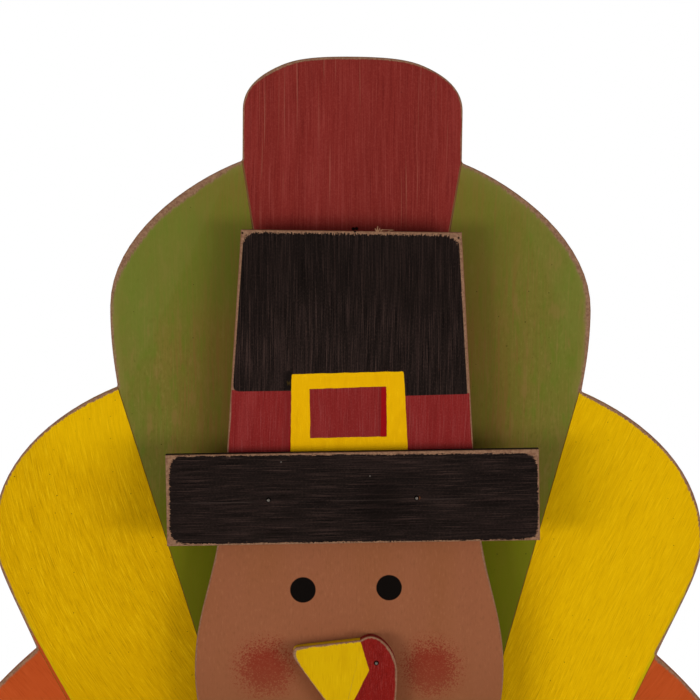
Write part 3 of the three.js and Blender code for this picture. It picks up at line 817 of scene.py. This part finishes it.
def seat_heads(piece, node, front):
    """Countersinks behind for screw heads, and small flat seats in front for brad heads."""
    low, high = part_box(node)
    for name, spot in FASTENERS.items():
        if not (name.startswith(HEADS_IN.get(node, "none")) and low.x < spot.x < high.x):
            continue
        place = BOARD.inverted() @ spot
        bpy.ops.object.select_all(action="DESELECT")
        if "screw" in name:
            deep, past_back = 2.5, 0.5
            bpy.ops.mesh.primitive_cone_add(
                vertices=32,
                radius1=4.4 * MM,
                radius2=1.9 * MM,
                depth=deep * MM,
                location=(place.x, place.y, (deep / 2 - past_back) * MM),
            )
        else:
            seat = 1
            bpy.ops.mesh.primitive_cylinder_add(
                vertices=24,
                radius=1.12 * MM,
                depth=2 * seat * MM,
                location=(place.x, place.y, front * MM),
            )
        cut_away(piece, bpy.context.object)


def measured(piece, ends):
    """Notes on each vertex how far it is from the board's arrises, in mm."""
    points = np.array([v.co for v in piece.data.vertices])
    note(piece, "inland", "POINT", distances(points, *ends) / MM)


def stroke_ways(piece, way):
    """Notes on each face the angle and the bend of the brush strokes that cover it."""
    turns, bends = zip(*[way(face.center / MM) for face in piece.data.polygons])
    note(piece, "stroke_turn", "FACE", np.radians(turns))
    note(piece, "stroke_bend", "FACE", bends)


# Pieces

# A feather's stroke angle in degrees and bend per mm, on the left and on the right
FEATHER_STROKES = [
    ((0, 0), (0, 0)),
    ((-1, 0), (1, 0)),
    ((-18.5, -0.0018), (24.5, 0)),
    ((-40, 0), (38, 0)),
]
GROOVE_DEPTHS = [0.45, 0.25, 0.2]
# A groove starts outside the outline, and ends behind the body at a share of its line
GROOVE_LEAD, GROOVE_SHARE = 1.8, 0.82


def feather_at(place):
    """Which feather a point of the fan is on: 0 red, 1 green, 2 yellow, 3 orange."""
    side, lines = (1, RIGHT_LINES) if place.x > 0 else (-1, LEFT_LINES)
    for number, ((jx, jy), (rx, ry)) in enumerate(lines):
        if side * ((jx - rx) * (place.y - ry) - (jy - ry) * (place.x - rx)) > 0:
            return number
    return len(lines)


def cut_grooves(piece):
    """Six V grooves between the feathers, cut with a square bar on edge from each junction."""
    bar = 6 * MM
    for ((jx, jy), (rx, ry)), depth in zip(LEFT_LINES + RIGHT_LINES, GROOVE_DEPTHS * 2):
        sunk = bar / math.sqrt(2) - depth * MM
        run = math.hypot(jx - rx, jy - ry)
        inner = GROOVE_SHARE * run
        middle = (inner - GROOVE_LEAD) / 2 / run
        bpy.ops.object.select_all(action="DESELECT")
        bpy.ops.mesh.primitive_cube_add(
            size=1,
            location=(
                (jx + (rx - jx) * middle) * MM,
                (jy + (ry - jy) * middle) * MM,
                FAN_FRONT * MM + sunk,
            ),
            rotation=(0, math.pi / 4, -math.atan2(jx - rx, jy - ry)),
            scale=(bar, (inner + GROOVE_LEAD) * MM, bar),
        )
        cut_away(piece, bpy.context.object)


def groove_of(face):
    """Which groove a face of the fan is a wall of, if any: it slants just below the front, close
    to a groove's line and clear of the outline."""
    place = face.center / MM
    below, near, clear = 0.8, 0.8, 0.4
    if not UPRIGHT < abs(face.normal.z) < FLAT or place.z < FAN_FRONT - below:
        return None
    lines = RIGHT_LINES if place.x > 0 else LEFT_LINES
    for number, ((jx, jy), (rx, ry)) in enumerate(lines):
        run = math.hypot(jx - rx, jy - ry)
        off = abs((jx - rx) * (place.y - ry) - (jy - ry) * (place.x - rx)) / run
        along = ((place.y - ry) * (jy - ry) + (place.x - rx) * (jx - rx)) / run
        if off < near and along < run - clear:
            return number
    return None


def feather_fan(colours, glazes, bare):
    """The fan: one board with V grooves, a paint for each colour of feather, a glaze for each
    groove and a bare back."""
    piece, ends = sanded_board("tail_fan", "feather_fan", FAN_FRONT, 4.5, 0.7)
    cut_grooves(piece)
    seat_heads(piece, "tail_fan", FAN_FRONT)
    bpy.ops.object.mode_set(mode="EDIT")
    for (jx, jy), (rx, ry) in LEFT_LINES + RIGHT_LINES:
        bpy.ops.mesh.select_all(action="SELECT")
        bpy.ops.mesh.bisect(plane_co=(jx * MM, jy * MM, 0), plane_no=(jy - ry, rx - jx, 0))
    bpy.ops.object.mode_set(mode="OBJECT")
    for material in (*colours, *glazes, bare):
        piece.data.materials.append(material)
    for face in piece.data.polygons:
        groove = groove_of(face)
        if groove is not None:
            face.material_index = len(colours) + groove
        elif face.normal.z < -FLAT:
            face.material_index = len(colours) + len(glazes)
        else:
            face.material_index = feather_at(face.center / MM)
    measured(piece, ends)
    stroke_ways(piece, lambda place: FEATHER_STROKES[feather_at(place)][place.x > 0])
    placed(piece, BOARD, "tail_fan", "figure")


def painted_board(node, name, front, rim, paint, bare, turn, arris=0.6):
    """A board painted on its front and side, with its back left bare."""
    piece, ends = sanded_board(node, name, front, rim, arris)
    seat_heads(piece, node, front)
    measured(piece, ends)
    piece.data.materials.append(paint)
    piece.data.materials.append(bare)
    for face in piece.data.polygons:
        face.material_index = 1 if face.normal.z < -FLAT else 0
    stroke_ways(piece, lambda place: (turn, 0))
    placed(piece, BOARD, node, "figure")


def cross_recess(piece):
    """Cuts the driver's cross into a screw's head, at the end where the screw is widest."""
    points = np.array([v.co for v in piece.data.vertices])
    low, high = points.min(0), points.max(0)
    middle = (low + high) / 2
    reach = np.hypot(*(points - middle)[:, :2].T)
    rim = points[reach > reach.max() - SAME, 2].mean()
    top = low[2] if rim < middle[2] else high[2]
    arm, slot, deep = 4.0, 0.9, 2.0
    for turn in (20, 110):
        bpy.ops.object.select_all(action="DESELECT")
        bpy.ops.mesh.primitive_cube_add(
            size=1,
            location=(middle[0], middle[1], top),
            rotation=(0, 0, math.radians(turn)),
            scale=(arm * MM, slot * MM, deep * MM),
        )
        cut_away(piece, bpy.context.object)


def hardware(node, name, space, body, material, width, rounds=2, angle=35):
    """A block, the leg or a metal part from its CAD node, with its edges broken where they turn
    by more than an angle."""
    piece = copied(node, name, space)
    if "screw" in node:
        cross_recess(piece)
    piece.data.materials.append(material)
    bevel = piece.modifiers.new("broken_edges", "BEVEL")
    bevel.width, bevel.segments = width * MM, rounds
    bevel.limit_method, bevel.angle_limit = "ANGLE", math.radians(angle)
    bpy.ops.object.modifier_apply(modifier=bevel.name)
    placed(piece, space, node, body)


# Splinters at the crown's top edge: foot on the board, length, thickness and lean in degrees
SPLINTERS = [
    ((12.6, 522.9), 2.9, 0.45, 8),
    ((13.2, 522.9), 2.2, 0.5, 24),
    ((12.4, 522.9), 1.9, 0.5, -24),
    ((14.4, 522.9), 1.7, 0.4, 36),
    ((14.0, 523.8), 6.4, 0.22, 87),
    ((18.0, 523.2), 3.2, 0.25, 76),
]


def torn_fibres(material):
    """A tuft of board fibres that the router tore up at the crown's top edge."""
    splinters = []
    for (x, y), long, thick, lean in SPLINTERS:
        turn = math.radians(lean)
        across, up = x + long / 2 * math.sin(turn), y + long / 2 * math.cos(turn)
        bpy.ops.object.select_all(action="DESELECT")
        bpy.ops.mesh.primitive_cone_add(
            vertices=7,
            radius1=thick * MM,
            radius2=0.2 * thick * MM,
            depth=long * MM,
            location=(across * MM, up * MM, (BODY_FRONT - 0.6) * MM),
            rotation=(-math.pi / 2, 0, -turn),
        )
        splinters.append(bpy.context.object)
    for splinter in splinters:
        splinter.select_set(True)
    bpy.ops.object.join()
    bpy.ops.object.transform_apply()
    tuft = bpy.context.object
    tuft.name = "torn_crown_fibres"
    tuft.data.transform(BOARD)
    tuft.data.materials.append(material)
    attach(tuft, "figure")


bare = raw_board()
leg_bare = raw_board("raw_sanded_fibreboard_leg", LEG)
zinc = plated_steel()
nail = nail_steel()
feather_paints = [red_paint(), green_paint(), yellow_paint(), orange_paint()]
glazes = [
    groove_glaze("brown_glaze_in_groove", "7c5230"),
    groove_glaze("olive_glaze_in_groove", "6b5418"),
    groove_glaze("rust_glaze_in_groove", "94500f"),
]

feather_fan(feather_paints, glazes, bare)
painted_board("body_board", "hatted_body", BODY_FRONT, 3, head_paint(), bare, 0)
torn_fibres(bare)
painted_board("hat_brim", "hat_brim_block", TRIM_FRONT, 3, brim_paint(), bare, 88.4)
painted_board("beak_and_snood", "beak_and_snood_board", TRIM_FRONT, 1.3, beak_paint(), bare, 0, 0.5)
for foot, turn in (("left_foot", 6), ("right_foot", -6)):
    painted_board(foot, foot + "_board", TRIM_FRONT, 2, feather_paints[3], bare, turn, 0.5)
for spacer in ("upper_spacer", "lower_spacer"):
    hardware(spacer, spacer + "_block", BOARD, "figure", bare, 0.4)
hardware("easel_leg", "easel_leg_board", LEG, "leg", leg_bare, 0.8)
hardware("hinge_fixed_leaf", "fixed_hinge_leaf", BOARD, "figure", zinc, 0.12, angle=50)
hardware("hinge_moving_leaf", "moving_hinge_leaf", LEG, "leg", zinc, 0.12, angle=50)
hardware("hinge_pin", "loose_hinge_pin", BOARD, "figure", zinc, 0.2, angle=50)
for node in FASTENERS:
    body, space = ("leg", LEG) if node.startswith("moving") else ("figure", BOARD)
    metal, width = (nail, 0.4) if "brad" in node else (zinc, 0.12)
    hardware(node, node + "_head", space, body, metal, width, 3, angle=50)


# Studio


def seen_directly(tree, *kinds):
    """1 for rays from the camera and rays of these kinds, and 0 for rays that only bring light."""
    rays = add(tree, "LightPath").outputs
    seen = rays["Is Camera Ray"]
    for kind in kinds:
        seen = add(tree, "Math", seen, rays[kind], operation="MAXIMUM")
    return seen


def pale_floor():
    """A pale matt floor that keeps the shadow near the figure and fades to white."""
    bpy.ops.object.select_all(action="DESELECT")
    bpy.ops.mesh.primitive_circle_add(vertices=96, radius=40, fill_type="NGON")
    floor = bpy.context.object
    floor.name = "studio_floor"
    material = bpy.data.materials.new("pale_studio_floor")
    material.use_nodes = True
    tree = material.node_tree
    tree.nodes.clear()
    away = add(tree, "VectorMath", add(tree, "TexCoord").outputs["Object"], operation="LENGTH")
    shadow_kept, all_white = 0.16, 0.48
    limits = {0: away, 1: shadow_kept, 2: all_white}
    far = add(tree, "MapRange", into=limits, interpolation_type="SMOOTHSTEP").outputs[0]
    seen = seen_directly(tree, "Is Glossy Ray", "Is Transmission Ray")
    white = add(tree, "Math", seen, far, operation="MULTIPLY")
    pale = add(tree, "BsdfDiffuse", hue("ececec"))
    glow = add(tree, "Emission", hue("ffffff"), 1.0)
    add(tree, "OutputMaterial", add(tree, "MixShader", white, pale, glow))
    floor.data.materials.append(material)


def white_room():
    """A white backdrop whose soft light is stronger near the horizon than from overhead."""
    world = bpy.data.worlds.new("soft_white_room")
    bpy.context.scene.world = world
    world.use_nodes = True
    tree = world.node_tree
    tree.nodes.clear()
    height = add(tree, "SeparateXYZ", add(tree, "TexCoord").outputs["Generated"]).outputs[2]
    from_horizon, from_overhead = 0.75, 0.25
    light = add(tree, "MapRange", height, -0.2, 0.9, from_horizon, from_overhead)
    seen = seen_directly(tree, "Is Transmission Ray")
    strength = add(tree, "MapRange", into={0: seen, 3: light, 4: 1.0})
    add(tree, "OutputWorld", add(tree, "Background", hue("ffffff"), strength))


def softbox(name, place, power):
    """A wide soft light at a place in metres, turned to the figure, with its power in watts."""
    light = bpy.data.lights.new(name, "AREA")
    light.shape, light.energy = "RECTANGLE", power
    light.size, light.size_y = 1.3, 0.8
    lamp = bpy.data.objects.new(name, light)
    bpy.context.scene.collection.objects.link(lamp)
    lamp.location = place
    middle = Vector((0, 0, 0.35))
    lamp.rotation_euler = (middle - Vector(place)).to_track_quat("-Z", "Y").to_euler()


def camera():
    """Where the photograph was taken from: 1.35 m in front of the boards, turned 0.65 degrees."""
    lens = bpy.data.cameras.new("photo_camera")
    lens.sensor_width, lens.lens = 36, 139.07
    lens.clip_start, lens.clip_end = 0.05, 200
    eye = bpy.data.objects.new("photo_camera", lens)
    bpy.context.scene.collection.objects.link(eye)
    height, distance, looks_at = 538.5, 1359, 463.5
    stand = BOARD @ (Vector((0, height, distance)) * MM)
    aim = BOARD @ (Vector((0, looks_at, FAN_FRONT)) * MM)
    level = (aim - stand).to_track_quat("-Z", "Y").to_matrix().to_4x4()
    turn = Matrix.Rotation(math.radians(0.65), 4, "Z")
    eye.matrix_world = Matrix.Translation(stand) @ level @ turn
    bpy.context.scene.camera = eye


pale_floor()
white_room()
softbox("left_softbox", (-1.85, -1.85, 0.3), 31.5)
softbox("right_softbox", (1.85, -1.85, 0.3), 33)
camera()
bpy.context.scene.view_settings.view_transform = "Standard"
